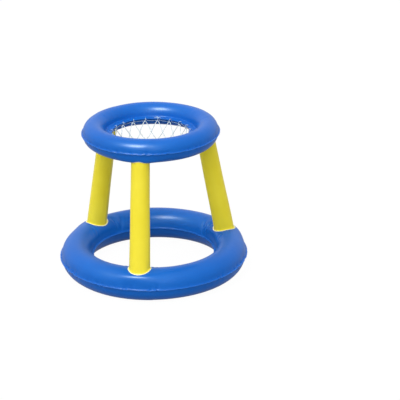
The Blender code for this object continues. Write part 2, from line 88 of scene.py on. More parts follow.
# Both rings, measured at the tube's middle line. leg_side says which side carries the legs, and the
# steps are those round the ring, of its sheets here and of its solid.
base = dict(
    reach=0.251, tube=0.051, height=0.049722, outer_edge=0.305, inner_edge=0.195,
    leg_side=1, steps=640, solid_steps=36,
)
hoop = dict(
    reach=0.1805, tube=0.037, height=0.466428, outer_edge=0.2205, inner_edge=0.122,
    leg_side=-1, steps=608, solid_steps=38,
)


def soft_step(value):
    value = np.clip(value, 0.0, 1.0)
    return value * value * (3.0 - 2.0 * value)


def around(angle, centre):
    """The turn from centre to angle, the short way round."""
    return (angle - centre + math.pi) % math.tau - math.pi


def at_angle(angle, radius=1.0, height=0.0):
    """A point this far from the rings' common axis."""
    return (radius * math.cos(angle), radius * math.sin(angle), height)


def unit(vector):
    return vector / np.linalg.norm(vector)


def into_mesh(name, bm):
    mesh = bpy.data.meshes.new(name)
    bm.to_mesh(mesh)
    bm.free()
    return mesh


def link(name, mesh, materials):
    for face_finish in materials:
        mesh.materials.append(face_finish)
    made = bpy.data.objects.new(name, mesh)
    scene.collection.objects.link(made)
    return made


# A welded band stands weld_rise off the ring's middle plane, and turns into the tube in a small curve.
weld_rise = 0.00055
weld_rounding = 0.0012
weld_edge_step = 0.0001
arch_rows, outer_weld_rows, inner_weld_rows, pressed_flange_rows = 49, 4, 5, 18
beside_weld = 2.2


def sheet_rows(ring, weld_lines):
    """The sheet's section from outer to inner edge: reach, rise, the normal's two parts, and the weld.

    The last is 1 on the outer weld, 2 on the inner one and 0 on the tube.
    """
    rows = [(ring["outer_edge"] - weld_edge_step, 0.0, 0.0, 1.0, 1)]
    tube_outer = ring["reach"] + ring["tube"]
    tube_inner = ring["reach"] - ring["tube"]
    for reach in np.linspace(ring["outer_edge"], tube_outer + weld_rounding, outer_weld_rows):
        rows.append((reach, weld_rise, 0.0, 1.0, 1))
    first_turn = math.asin((weld_rise + weld_rounding * 0.5) / ring["tube"])
    arch = np.linspace(first_turn, math.pi - first_turn, arch_rows)
    ends = np.array([first_turn * beside_weld, math.pi - first_turn * beside_weld])
    for turn in sorted(set(arch) | set(ends)):
        lean_out, lean_up = math.cos(turn), math.sin(turn)
        rows.append((ring["reach"] + ring["tube"] * lean_out, ring["tube"] * lean_up, lean_out, lean_up, 0))
    flange_rows = pressed_flange_rows if weld_lines else inner_weld_rows
    for reach in np.linspace(tube_inner - weld_rounding, ring["inner_edge"], flange_rows):
        rows.append((reach, weld_rise, 0.0, 1.0, 2))
    rows.append((ring["inner_edge"] + weld_edge_step, 0.0, 0.0, 1.0, 2))
    return np.array(rows)


pucker_widths = (0.0024, 0.0056)
pucker_spread = 1.6


def puckers(ring, count, depth, length):
    """Valleys across the outer weld: where each lies, its width, depth and length over the tube."""
    places = math.tau / count * (np.arange(count) + chance.uniform(-0.3, 0.3, count))
    widths = chance.uniform(*pucker_widths, count) / ring["reach"]
    depths = depth * chance.uniform(0.15, 1.0, count) ** 1.5
    lengths = length * chance.uniform(0.4, 1.0, count)
    return list(zip(places, widths, depths, lengths))


def pucker_depth(valleys, angle, arc):
    """How far the skin is drawn in at this angle and this distance from the outer weld."""
    drawn = np.zeros_like(angle)
    for place, width, depth, length in valleys:
        spread = width * (1.0 + pucker_spread * arc / length)
        drawn += depth * np.exp(-((around(angle, place) / spread) ** 2)) * np.exp(-((arc / length) ** 2))
    return drawn


shoulder_height, shoulder_width = 0.45, 2.1


def crease_depth(creases, along, over):
    """Long soft folds with low shoulders. Each runs between two points (along the ring, over the tube)."""
    drawn = np.zeros_like(along)
    for start, end, width, depth in creases:
        run = np.array(end) - np.array(start)
        share = ((along - start[0]) * run[0] + (over - start[1]) * run[1]) / (run @ run)
        held = np.clip(share, 0.0, 1.0)
        off = np.hypot(along - start[0] - held * run[0], over - start[1] - held * run[1])
        fade = np.sin(math.pi * np.clip(0.08 + 0.84 * held, 0, 1))
        valley = np.exp(-((off / width) ** 2))
        shoulders = shoulder_height * np.exp(-((off / width / shoulder_width) ** 2))
        drawn += depth * fade * (valley - shoulders)
    return drawn


# A leg aims at a point half the tube's radius off the tube's middle line, towards the other ring. Its
# ends pull the skin up round them.
leg_angles = [math.radians(turn) for turn in (-90, 30, 150)]
leg_aim = 0.5
leg_pull_reach = 0.070
leg_pull_share = 3.5


def leg_line(ring_angle):
    """Foot, top and the unit vectors of a leg: towards the middle, sideways and up the leg."""
    out = Vector(at_angle(ring_angle))
    aims = []
    for ring in (base, hoop):
        aim_height = ring["height"] + ring["leg_side"] * ring["tube"] * leg_aim
        aims.append(out * ring["reach"] + Vector((0, 0, aim_height)))
    axis = (aims[1] - aims[0]).normalized()
    ends = []
    for ring, aim in zip((base, hoop), aims):
        off_centre = ring["tube"] * leg_aim
        along = off_centre * axis.z
        to_skin = math.sqrt(along**2 - off_centre**2 + ring["tube"] ** 2) - along
        ends.append(aim + axis * ring["leg_side"] * to_skin)
    side = axis.cross(-out).normalized()
    return ends[0], ends[1], side.cross(axis), side, axis


def leg_pull(ring, x, y, turn):
    """How far the legs' ends draw the skin from here towards the level of the ring's crest."""
    nearness = np.zeros_like(x)
    for ring_angle in leg_angles:
        off = np.hypot(x - ring["reach"] * math.cos(ring_angle), y - ring["reach"] * math.sin(ring_angle))
        nearness += np.exp(-((off / leg_pull_reach) ** 4))
    slope = np.sin(np.clip(turn, 0.0, math.pi))
    return leg_pull_share * nearness * ring["tube"] * (slope * (1 - slope)) ** 2


def off_the_legs(points):
    """The distance of each point from the nearest leg's centre line."""
    nearest = np.full(points.shape[:-1], np.inf)
    for ring_angle in leg_angles:
        foot, _, inward, side, _ = leg_line(ring_angle)
        away = points - np.array(foot)
        nearest = np.minimum(nearest, np.hypot(away @ np.array(inward), away @ np.array(side)))
    return nearest


# A valve sits on one flat facet of the ring's solid, so the skin is flat there too.
half_tube_facets, seat_facet = 7, 6
seat_flat_radius, seat_easing, seat_depth = 0.0085, 0.012, 0.01
valve_hole_radius = 0.0060


def seat_turn(ring, mid_angle):
    """A valve's seat: the middle of the flat that carries it. X up the tube, Y along the ring, Z out."""
    facet_share = math.cos(math.pi / ring["solid_steps"])
    turns = [math.pi * (seat_facet + end) / half_tube_facets for end in (0, 1)]
    reach = sum(ring["reach"] + ring["tube"] * math.cos(turn) for turn in turns) / 2
    rise = sum(ring["tube"] * math.sin(turn) for turn in turns) / 2
    out = Vector(at_angle(mid_angle))
    along = Vector((-math.sin(mid_angle), math.cos(mid_angle), 0.0))
    middle = out * reach * facet_share + Vector((0, 0, ring["height"] + rise))
    lean = (turns[0] + turns[1]) / 2
    face = (out * math.cos(lean) * facet_share + Vector((0, 0, math.sin(lean)))).normalized()
    upward = along.cross(face)
    return Matrix.Translation(middle) @ Matrix((upward, along, face)).transposed().to_4x4()


def flatten_at(points, seat):
    """Draws the skin down to the flat that the valve's flange is welded on."""
    inverse = np.array(seat.inverted())
    local = points @ inverse[:3, :3].T + inverse[:3, 3]
    off = np.hypot(local[..., 0], local[..., 1])
    near = (off < seat_flat_radius + seat_easing) & (np.abs(local[..., 2]) < seat_depth)
    keep = soft_step((off - seat_flat_radius) / seat_easing)
    local[..., 2] = np.where(near, local[..., 2] * keep, local[..., 2])
    turned_back = np.array(seat)
    return local @ turned_back[:3, :3].T + turned_back[:3, 3]


def open_hole(mesh_bm, centre, axis, radius, wall=0.0):
    """Takes out the faces inside a hole, sets its rim on a true circle and drops a wall from it."""
    centre, axis = Vector(centre), Vector(axis).normalized()
    search_reach, cleared, rim_reach = radius * 1.02, radius * 0.86, radius * 1.8

    def flat_offset(point):
        away = point - centre
        return away - axis * away.dot(axis)

    near = [v for v in mesh_bm.verts if (v.co - centre).length < search_reach]
    inside = [v for v in near if flat_offset(v.co).length < cleared]
    bmesh.ops.delete(mesh_bm, geom=inside, context="VERTS")
    rim = [v for v in mesh_bm.verts if v.is_boundary and (v.co - centre).length < rim_reach]
    for vertex in rim:
        away = flat_offset(vertex.co)
        vertex.co += away.normalized() * radius - away
    if wall:
        lower = {vertex: mesh_bm.verts.new(vertex.co - axis * wall) for vertex in rim}
        for edge in [e for e in mesh_bm.edges if e.is_boundary and all(v in lower for v in e.verts)]:
            here = edge.link_loops[0]
            onward = here.link_loop_next
            corners = (onward.vert, here.vert, lower[here.vert], lower[onward.vert])
            face = mesh_bm.faces.new(corners, here.face)
            for loop, beside in zip(face.loops, (onward, here, here, onward)):
                loop.copy_from(beside)


def lay_face(bm, uv_layer, corners, finish_number=0):
    """A smooth face through corners, each a vertex with its place on the flat sheet."""
    face = bm.faces.new([vertex for vertex, _ in corners])
    for loop, (_, flat_place) in zip(face.loops, corners):
        loop[uv_layer].uv = flat_place
    face.smooth = True
    face.material_index = finish_number


# The skin is drawn in beside both welds and waves a little, but is taut at the legs. The fin at the
# outer weld sways with the puckers, and the hoop's flange has lines pressed in it.
seam_pinch = 0.038
seam_pinch_reach = 0.20
skin_wave = 0.0004
leg_clear_radius, leg_clear_easing = 0.037, 0.012
fold_line_share = 0.6
fin_reach, fin_lift, fin_draw = 0.006, 0.9, 0.5
pressed_depth, pressed_width = 0.00045, 0.045


def ring_sheet(name, ring, side, valleys, creases, seat, holes=(), weld_lines=()):
    """One sheet as its outer skin with both welds. side is 1 for the upper sheet, -1 for the lower.

    creases holds a list of folds for each leg, and weld_lines the places of lines in the flange.
    """
    steps = ring["steps"]
    rows = sheet_rows(ring, weld_lines)
    reach, rise, lean_out, lean_up, weld = rows.T
    turn = np.arctan2(rise, reach - ring["reach"])
    over = np.clip(turn, 0, math.pi) * ring["tube"]
    outer_arc = np.where(weld > 0, np.where(reach > ring["reach"], 0.0, 1.0), over)
    angle = np.linspace(0.0, math.tau, steps, endpoint=False)[:, None]
    grids = np.broadcast_arrays(angle, outer_arc, rise, turn, over)
    angle_grid, arc_grid, rise_grid, turn_grid, over_grid = grids
    out_x, out_y = np.cos(angle_grid), np.sin(angle_grid)
    if side == ring["leg_side"]:
        rise_grid = rise_grid + leg_pull(ring, reach * out_x, reach * out_y, turn_grid)
    smooth = np.stack([reach * out_x, reach * out_y, ring["height"] + side * rise_grid], -1)
    clear = soft_step((off_the_legs(smooth) - leg_clear_radius) / leg_clear_easing)
    press = pucker_depth(valleys, angle_grid, arc_grid)
    for ring_angle, leg_creases in zip(leg_angles, creases):
        along = around(angle_grid, ring_angle) * (ring["reach"] - fold_line_share * ring["tube"])
        press += crease_depth(leg_creases, along, over_grid)
    long_wave = skin_wave * (1 + np.sin(5 * angle_grid + 1.3) * np.sin(arc_grid / ring["tube"] * 1.7))
    press = (press + long_wave * np.where(weld > 0, 0.0, np.sin(turn))) * clear
    from_weld = np.minimum(over, math.pi * ring["tube"] - over) / (seam_pinch_reach * ring["tube"])
    press += seam_pinch * ring["tube"] * from_weld * np.exp(1 - from_weld)
    press *= np.where(weld > 0, 0.0, 1.0)
    outward = reach > ring["reach"]
    fin_fade = np.where(outward, np.exp(-((over / fin_reach) ** 2)), 0.0)
    fin = np.where((weld > 0) & outward, 1.0, fin_fade)
    edge_wave = pucker_depth(valleys, angle_grid, np.zeros_like(arc_grid))
    sway = np.sin(angle_grid * 41.0 + 2.0 * np.sin(angle_grid * 13.0))
    lift = fin_lift * edge_wave * sway * fin
    draw = fin_draw * edge_wave * fin
    points = smooth.copy()
    points[..., 0] -= out_x * (press * lean_out + draw)
    points[..., 1] -= out_y * (press * lean_out + draw)
    points[..., 2] -= side * press * lean_up
    points[..., 2] += lift
    tube_inner = ring["reach"] - ring["tube"]
    flange_share = (tube_inner - reach) / (tube_inner - ring["inner_edge"])
    for line in weld_lines:
        groove = pressed_depth * np.exp(-(((flange_share - line) / pressed_width) ** 2)) * (weld > 0)
        points[..., 2] -= side * groove
    if seat is not None:
        points = np.where(weld[:, None] > 0, points, flatten_at(points, seat))
    bm = bmesh.new()
    grid = [[bm.verts.new(point) for point in line] for line in points]
    uv_layer = bm.loops.layers.uv.new("sheet")
    arcs = np.concatenate([[0.0], np.cumsum(np.hypot(np.diff(reach), np.diff(rise)))])
    for i in range(steps):
        for j in range(len(rows) - 1):
            corners = [
                (grid[step % steps][row], (math.tau * step / steps * ring["reach"], arcs[row]))
                for step, row in ((i, j), (i + 1, j), (i + 1, j + 1), (i, j + 1))[::side]
            ]
            lay_face(bm, uv_layer, corners, 1 if weld[j] == 1 and weld[j + 1] == 1 else 0)
    for hole in holes:
        open_hole(bm, *hole)
    if seat is not None:
        open_hole(bm, seat.translation, seat.col[2][:3], valve_hole_radius)
    return link(name, into_mesh(name, bm), (blue_vinyl, blue_weld))


def feed(node, values):
    """Sets a node's inputs. A value that is the output of another node is linked."""
    for place, value in values.items():
        if isinstance(value, bpy.types.NodeSocket):
            node.id_data.links.new(value, node.inputs[place])
        else:
            node.inputs[place].default_value = value


def new_finish(name, colour, roughness):
    """A node material. Returns it with its tree and shader."""
    made = bpy.data.materials.new(name)
    made.use_nodes = True
    shader = made.node_tree.nodes["Principled BSDF"]
    feed(shader, {"Base Color": (*colour, 1.0), "Roughness": roughness})
    return made, made.node_tree, shader


def texture(tree, kind, scale, coordinates="Object", bands=None, **settings):
    """A texture on these coordinates. bands is the way that a wave's bands run."""
    place = tree.nodes.new("ShaderNodeTexCoord")
    made = tree.nodes.new(kind)
    if bands:
        made.bands_direction = bands
    feed(made, {"Vector": place.outputs[coordinates], "Scale": scale, **settings})
    return made.outputs["Fac"]


def reckon(tree, operation, first, second):
    """Works out one value from two, each an output or a number."""
    made = tree.nodes.new("ShaderNodeMath")
    made.operation = operation
    feed(made, {0: first, 1: second})
    return made.outputs["Value"]


def stretch(tree, value, low, high, from_low=0.0):
    """Takes a value that runs from from_low to 1, and lets it run from low to high."""
    made = tree.nodes.new("ShaderNodeMapRange")
    feed(made, {"Value": value, "From Min": from_low, "To Min": low, "To Max": high})
    return made.outputs["Result"]


def tint(tree, shader, source, low, high):
    """Lets a texture drift the colour between two tones."""
    ramp = tree.nodes.new("ShaderNodeValToRGB")
    for element, tone, position in zip(ramp.color_ramp.elements, (low, high), (0.3, 0.7)):
        element.color = (*tone, 1.0)
        element.position = position
    feed(ramp, {"Fac": source})
    feed(shader, {"Base Color": ramp.outputs["Color"]})


def gloss(tree, shader, source, low, high):
    """Lets a texture drift the roughness between two values."""
    feed(shader, {"Roughness": stretch(tree, source, low, high)})


def relief(tree, shader, height, distance):
    """Raises a fine grain on the skin."""
    bump = tree.nodes.new("ShaderNodeBump")
    feed(bump, {"Strength": 1.0, "Distance": distance, "Height": height})
    feed(shader, {"Normal": bump.outputs["Normal"]})


def stretched_vinyl(name, deep, pale, roughness, shine):
    """Calendered vinyl sheet: a glossy face with a faint orange peel and slow clouds in its colour."""
    made, tree, shader = new_finish(name, deep, roughness)
    feed(shader, {"IOR": 1.5, "Specular IOR Level": 0.1, "Specular Tint": (*shine, 1.0)})
    feed(shader, {"Coat Weight": 0.36, "Coat Roughness": 0.32})
    clouds = texture(tree, "ShaderNodeTexNoise", 9.0, Detail=3.0)
    peel = texture(tree, "ShaderNodeTexNoise", 420.0, Detail=2.0)
    ripple = texture(tree, "ShaderNodeTexNoise", 38.0, Detail=1.0)
    tint(tree, shader, clouds, deep, pale)
    gloss(tree, shader, clouds, roughness * 0.9, roughness * 1.1)
    faint_peel = reckon(tree, "MULTIPLY", peel, 0.12)
    relief(tree, shader, reckon(tree, "ADD", ripple, faint_peel), 0.0006)
    return made


def weld_band(name, colour, roughness):
    """The band that the hot bar pressed: paler, duller and finely ribbed across."""
    made, tree, shader = new_finish(name, colour, roughness)
    ribs = texture(tree, "ShaderNodeTexWave", 150.0, coordinates="UV", bands="X")
    grain = texture(tree, "ShaderNodeTexNoise", 260.0, Detail=2.0)
    gloss(tree, shader, grain, roughness * 0.8, roughness * 1.2)
    relief(tree, shader, ribs, 0.00012)
    return made


blue_deep = (0.0010, 0.105, 0.48)
blue_pale = (0.0020, 0.118, 0.52)
blue_vinyl = stretched_vinyl("blue_vinyl_sheet", blue_deep, blue_pale, 0.45, (0.10, 0.90, 1.0))
blue_weld = weld_band("blue_weld_band", (0.008, 0.140, 0.56), 0.34)

base_puckers = puckers(base, 84, 0.0027, 0.022)

# Three small folds spread out on each side of a foot, and a rear foot has two deeper ones on its side
# towards the back. Each fold is given by where it starts and ends, its width and its depth.
foot_creases = []
for towards_back in (0, 1, -1):
    folds = []
    for hand in (-1, 1):
        for number in range(3):
            start = (hand * (0.036 + 0.008 * number), base["tube"] * math.radians(99 + 9 * number))
            end = (hand * (0.052 + 0.020 * number), base["tube"] * math.radians(158 - 12 * number))
            folds.append((start, end, 0.0045 + 0.001 * number, 0.0019 - 0.0004 * number))
        if hand == towards_back:
            for place, slant, first, last, width, depth in (
                (0.045, 0.008, 104, 172, 0.0065, 0.0048),
                (0.080, -0.014, 108, 174, 0.0090, 0.0048),
            ):
                start = (hand * place, base["tube"] * math.radians(first))
                end = (hand * (place + slant), base["tube"] * math.radians(last))
                folds.append((start, end, width, depth))
    foot_creases.append(folds)
base_seat = seat_turn(base, math.radians(-50))

for node, side, creases, seat in (
    ("base_ring_upper_sheet", 1, foot_creases, base_seat),
    ("base_ring_lower_sheet", -1, (), None),
):
    sheet = ring_sheet("floating_" + node[5:], base, side, base_puckers, creases, seat)
    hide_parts(node)
    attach(sheet, "float")

# Hoop ring: the same make, on a thinner tube. Its inner weld is a wide flat flange round the mouth,
# pressed in three lines, with nineteen punched holes for the lacing of the net.

net_loops = 19
flange_lines = (0.10, 0.24, 0.86)
net_cord = 0.0026
net_hang = 0.0055
lace_cord = 0.0022
lace_hole = 0.006
lace_land = 0.004
lace_slack = 0.0010
lace_advance = 0.006
lace_sag = 0.0015
lace_squareness = 3.0
seat_gap = 0.0003
lace_start_turn = -math.pi / 8
under_flange = 1.5 * math.pi

mouth_edge = hoop["inner_edge"] * math.cos(math.pi / (2 * net_loops))
flange_face = seat_gap / 2 + vinyl_gauge
net_top = hoop["height"] - flange_face - net_hang - net_cord / 2
lace_outer = mouth_edge + lace_land + lace_hole / 2
lace_inner = mouth_edge - lace_slack - lace_cord / 2
lace_high = hoop["height"] + flange_face + lace_slack + lace_cord / 2
lace_low = net_top - net_cord / 2 - seat_gap - lace_cord / 2
lace_reach, lace_half = (lace_outer + lace_inner) / 2, (lace_outer - lace_inner) / 2
wrap_share = lace_advance / (math.tau * lace_reach / net_loops)


def loop_angle(phase):
    """Phase counts net loops round the hoop from the one at the back."""
    return math.pi / 2 + math.tau * phase / net_loops


def lace_share(turn):
    return (turn - lace_start_turn) / math.tau


hoop_puckers = puckers(hoop, 70, 0.0019, 0.014)
hoop_seat_step = 22.5
hoop_seat = seat_turn(hoop, loop_angle(-0.25) + math.tau * hoop_seat_step / hoop["solid_steps"])
lace_holes = []
for loop in range(net_loops):
    spot = loop_angle(loop + wrap_share * (lace_share(0.0) - lace_share(under_flange)))
    lace_holes.append(Vector(at_angle(spot, lace_outer, hoop["height"])))
top_folds = []
for hand in (-1, 1):
    start = (hand * 0.034, hoop["tube"] * 1.9)
    end = (hand * 0.055, hoop["tube"] * 2.7)
    top_folds.append((start, end, 0.004, 0.0011))

for node, side, creases, seat in (
    ("hoop_ring_upper_sheet", 1, (), hoop_seat),
    ("hoop_ring_lower_sheet", -1, [top_folds] * 3, None),
):
    punched = [
        (centre + Vector((0, 0, side * weld_rise)), (0, 0, side), lace_hole / 2, weld_rise)
        for centre in lace_holes
    ]
    sheet = ring_sheet("net_" + node, hoop, side, hoop_puckers, creases, seat, punched, flange_lines)
    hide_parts(node)
    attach(sheet, "float")

# Legs: each is a sheet of yellow vinyl rolled into a tube and welded along a lap seam that faces the
# middle. Both ends are spread outwards and welded flat on the rings, which leaves a pale margin
# round each end and small pleats above it.

leg_foot_radius, leg_top_radius = 0.033, 0.029
leg_foot_margin, leg_top_margin = 0.0042, 0.0020
leg_lap = 0.009
lap_step = 0.0006
lap_clear_turn = 0.06
leg_columns = 96
leg_rows = 70
margin_lift = vinyl_gauge
weld_edge_lift = 0.00005
margin_rows = (1.0, 0.8, 0.55, 0.35)
fillet_share = 0.30
fillet_rows = 6
leg_wave = 0.0003
pleat_count = 15
top_pleat_shift = 1.1
on_tube = 1e-5

yellow_deep = (0.83, 0.70, 0.026)
yellow_pale = (0.88, 0.755, 0.042)
yellow_vinyl = stretched_vinyl("yellow_vinyl_sheet", yellow_deep, yellow_pale, 0.45, (1.0, 0.98, 0.80))
pale_weld = weld_band("pale_weld_margin", (0.88, 0.85, 0.55), 0.42)


# The skin is found by halving the stretch of leg that it must lie in.
pull_rounds, halvings = 6, 44
foot_search, top_search = (-0.04, 0.03), (-0.025, 0.03)


def tube_gap(points, ring):
    """How far points are from the skin of a ring that the legs pull on."""
    reach = np.hypot(points[..., 0], points[..., 1]) - ring["reach"]
    rise = ring["leg_side"] * (points[..., 2] - ring["height"])
    round_rise = rise
    for _ in range(pull_rounds):
        turn = np.arctan2(round_rise, reach)
        round_rise = rise - leg_pull(ring, points[..., 0], points[..., 1], turn)
    return np.hypot(reach, round_rise) - ring["tube"]


def meet_skin(make_point, ring, low, high, lift):
    """Heights along the leg where make_point(height) lies this far off the ring's skin."""
    low_sign = np.sign(tube_gap(make_point(low), ring) - lift)
    for _ in range(halvings):
        middle = (low + high) / 2
        same = np.sign(tube_gap(make_point(middle), ring) - lift) == low_sign
        low = np.where(same, middle, low)
        high = np.where(same, high, middle)
    return (low + high) / 2


for number, ring_angle in enumerate(leg_angles):
    place_name = ("front", "right", "left")[number]
    foot, top, inward, side, axis = leg_line(ring_angle)
    length = (top - foot).length
    lap_edge = leg_lap / 2 / leg_foot_radius
    step_width = lap_step / leg_foot_radius
    turns = [-lap_edge - step_width, -lap_edge, 0.0, lap_edge, lap_edge + step_width]
    clear_of_lap = lap_edge + lap_clear_turn
    plain_columns = leg_columns - len(turns)
    turns += list(np.linspace(clear_of_lap, math.tau - lap_edge - lap_clear_turn, plain_columns))
    turns = np.array(sorted(turn % math.tau for turn in turns))
    on_lap = np.abs(around(turns, 0.0)) <= lap_edge + 1e-6

    def leg_point(height, aside=0.0, press=0.0):
        share = np.clip(height / length, 0.0, 1.0)
        radius = leg_foot_radius * (1 - share) + leg_top_radius * share + aside - press
        radius = radius + np.where(on_lap, vinyl_gauge, 0.0) * (np.abs(aside) < 1e-9)
        flat_x, flat_y = radius * np.cos(turns), radius * np.sin(turns)
        return (
            np.array(foot)
            + flat_x[:, None] * np.array(inward)
            + flat_y[:, None] * np.array(side)
            + height[:, None] * np.array(axis)
        )

    def skin_height(aside, ring, lift):
        leg_end, search = (0.0, foot_search) if ring is base else (length, top_search)
        low, high = (np.full(len(turns), leg_end + off) for off in search)
        return meet_skin(lambda height: leg_point(height, aside), ring, low, high, lift)

    pleats = chance.uniform(0, math.tau, pleat_count)
    pleat_depth = chance.uniform(0.0003, 0.0011, pleat_count)
    pleat_width = chance.uniform(0.0022, 0.0045, pleat_count) / leg_foot_radius
    pleat_length = chance.uniform(0.010, 0.030, pleat_count)

    def pleat_press(off_end, shift):
        total = np.zeros(len(turns))
        for where, depth, width, reach in zip(pleats, pleat_depth, pleat_width, pleat_length):
            bell = np.exp(-((around(turns, where + shift) / width) ** 2))
            total += depth * bell * math.exp(-((off_end / reach) ** 2))
        return total

    def spread_end(ring, margin):
        """The margin on the ring and the fillet that turns up into the tube."""
        made = [(leg_point(skin_height(margin, ring, weld_edge_lift), margin), 1)]
        for share in margin_rows:
            aside = margin * share
            made.append((leg_point(skin_height(aside, ring, margin_lift), aside), 1))
        bend = margin * fillet_share
        for turn in np.linspace(0.0, math.pi / 2, fillet_rows):
            aside = bend * (1 - math.sin(turn))
            rise = bend * (1 - math.cos(turn))
            height = skin_height(max(aside, on_tube), ring, margin_lift) + ring["leg_side"] * rise
            press = pleat_press(rise, 0.0 if ring is base else top_pleat_shift) * (rise / bend)
            made.append((leg_point(height, max(aside, 0.0), press), 0))
        return made

    lines = spread_end(base, leg_foot_margin)
    start = skin_height(on_tube, base, margin_lift) + leg_foot_margin * fillet_share
    finish = skin_height(on_tube, hoop, margin_lift) - leg_top_margin * fillet_share
    for share in np.linspace(0.0, 1.0, leg_rows + 2)[1:-1]:
        eased = 0.5 - 0.5 * math.cos(math.pi * share)
        share = 0.5 * share + 0.5 * eased
        height = start * (1 - share) + finish * share
        press = pleat_press(share * length, 0.0) + pleat_press((1 - share) * length, top_pleat_shift)
        drift = leg_wave * (1 + np.sin(3 * turns + 9 * share + number)) * math.sin(math.pi * share)
        lines.append((leg_point(height, 0.0, press + drift), 0))
    lines += spread_end(hoop, leg_top_margin)[::-1]
    bm = bmesh.new()
    grid = [[bm.verts.new(point) for point in points] for points, _ in lines]
    uv_layer = bm.loops.layers.uv.new("sheet")
    columns = len(turns)
    for i in range(len(lines) - 1):
        for j in range(columns):
            corners = []
            for row, column in ((i, j), (i, j + 1), (i + 1, j + 1), (i + 1, j)):
                flat_place = (math.tau * column / columns * leg_foot_radius, row * length / len(lines))
                corners.append((grid[row][column % columns], flat_place))
            lay_face(bm, uv_layer, corners, 1 if lines[i][1] and lines[i + 1][1] else 0)
    leg_name = "yellow_leg_" + place_name
    leg = link(leg_name, into_mesh(leg_name, bm), (yellow_vinyl, pale_weld))
    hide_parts("leg_" + place_name)
    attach(leg, "float")

# Net: two lengths of white three-strand cord. The upper one hangs in nineteen round loops under the
# flange, the lower one closes the diamonds and makes the loops of the bottom edge, and a knot ties
# the two together wherever they meet.

net_knot = 0.0064
net_loop_bend = 0.0035
net_narrowing = 0.018
knot_cord = 0.0021
knot_cord_share = 0.6
knot_points = 44
strand_middle, strand_swell = 0.92, 0.08
strand_lay = 0.0075
net_fullness = 1.06
net_point_spacing = 0.0011
net_first_row = 0.0335
net_second_row = 0.0250
knot_height = net_top - net_first_row


def net_radius(height):
    share = (net_top - height) / (net_first_row + net_second_row)
    return lace_reach - net_narrowing * share


def row_flank(half_pitch, drop):
    """One flank of a row as (along, down): half a round bend, then straight to the knot."""
    lean = math.atan2(drop - net_loop_bend, half_pitch)
    slope = lean + math.asin(net_loop_bend / math.hypot(half_pitch, drop - net_loop_bend))
    turns = np.linspace(0.0, slope, 7)
    bend = [(net_loop_bend * math.sin(turn), net_loop_bend * (1 - math.cos(turn))) for turn in turns]
    return bend + [(half_pitch, drop)]


def net_row(bend_height, meet_height):
    half_pitch = math.pi * net_radius((bend_height + meet_height) / 2) / net_loops
    rise = math.copysign(1.0, meet_height - bend_height)
    flank = row_flank(half_pitch, abs(meet_height - bend_height))
    whole = flank + [(2 * half_pitch - along, down) for along, down in flank[-2:0:-1]]
    points = []
    for loop in range(net_loops):
        for along, down in whole:
            height = bend_height + rise * down
            points.append(at_angle(loop_angle(loop + along / (2 * half_pitch)), net_radius(height), height))
    return np.array(points)


def even_route(points, spacing, closed=True, rounding=2):
    """The same route with points at an even spacing and its corners eased."""
    if closed:
        points = np.vstack([points, points[:1]])
    steps = np.linalg.norm(np.diff(points, axis=0), axis=1)
    run = np.concatenate([[0.0], np.cumsum(steps)])
    count = int(run[-1] / spacing)
    stations = np.linspace(0.0, run[-1], count, endpoint=not closed)
    even = np.stack([np.interp(stations, run, points[:, k]) for k in range(3)], axis=1)
    for _ in range(rounding):
        if closed:
            even = (np.roll(even, 1, 0) + 2 * even + np.roll(even, -1, 0)) / 4
        else:
            even[1:-1] = (even[:-2] + 2 * even[1:-1] + even[2:]) / 4
    return even


def twisted_cord(name, routes, diameter, finish, sides=12):
    """A cord of three twisted strands along each closed or open route."""
    bm = bmesh.new()
    uv_layer = bm.loops.layers.uv.new("cord")
    for points, closed in routes:
        count = len(points)
        if closed:
            along = np.roll(points, -1, 0) - np.roll(points, 1, 0)
        else:
            along = np.gradient(points, axis=0)
        along /= np.linalg.norm(along, axis=1)[:, None]
        across = np.zeros_like(points)
        first = np.cross(along[0], (0.0, 0.0, 1.0))
        if np.linalg.norm(first) < 0.1:
            first = np.cross(along[0], (1.0, 0.0, 0.0))
        across[0] = unit(first)
        for i in range(1, count):
            across[i] = unit(across[i - 1] - along[i] * (across[i - 1] @ along[i]))
        mismatch = 0.0
        if closed:
            carried = unit(across[-1] - along[0] * (across[-1] @ along[0]))
            mismatch = math.atan2(np.cross(carried, across[0]) @ along[0], carried @ across[0])
        other = np.cross(along, across)
        run = np.concatenate([[0.0], np.cumsum(np.linalg.norm(np.diff(points, axis=0), axis=1))])
        total = run[-1] + (np.linalg.norm(points[0] - points[-1]) if closed else 0.0)
        twists = max(1, round(total / strand_lay))
        rings = []
        for i in range(count):
            turn_back = mismatch * run[i] / total
            loop = []
            for k in range(sides):
                turn = math.tau * k / sides
                strand = math.tau * twists / 3 * run[i] / total
                swell = strand_middle + strand_swell * math.cos(3 * (turn - strand))
                x, y, _ = at_angle(turn + turn_back, diameter / 2 * swell)
                loop.append(bm.verts.new(points[i] + (x * across[i] + y * other[i])))
            rings.append(loop)
        for i in range(count if closed else count - 1):
            for k in range(sides):
                corners = []
                for row, column in ((i, k), (i, k + 1), (i + 1, k + 1), (i + 1, k)):
                    flat_place = (total * row / count, column / sides * diameter * math.pi)
                    corners.append((rings[row % count][column % sides], flat_place))
                lay_face(bm, uv_layer, corners)
        if not closed:
            for end in (rings[0][::-1], rings[-1]):
                bm.faces.new(end).smooth = True
    return link(name, into_mesh(name, bm), (finish,))


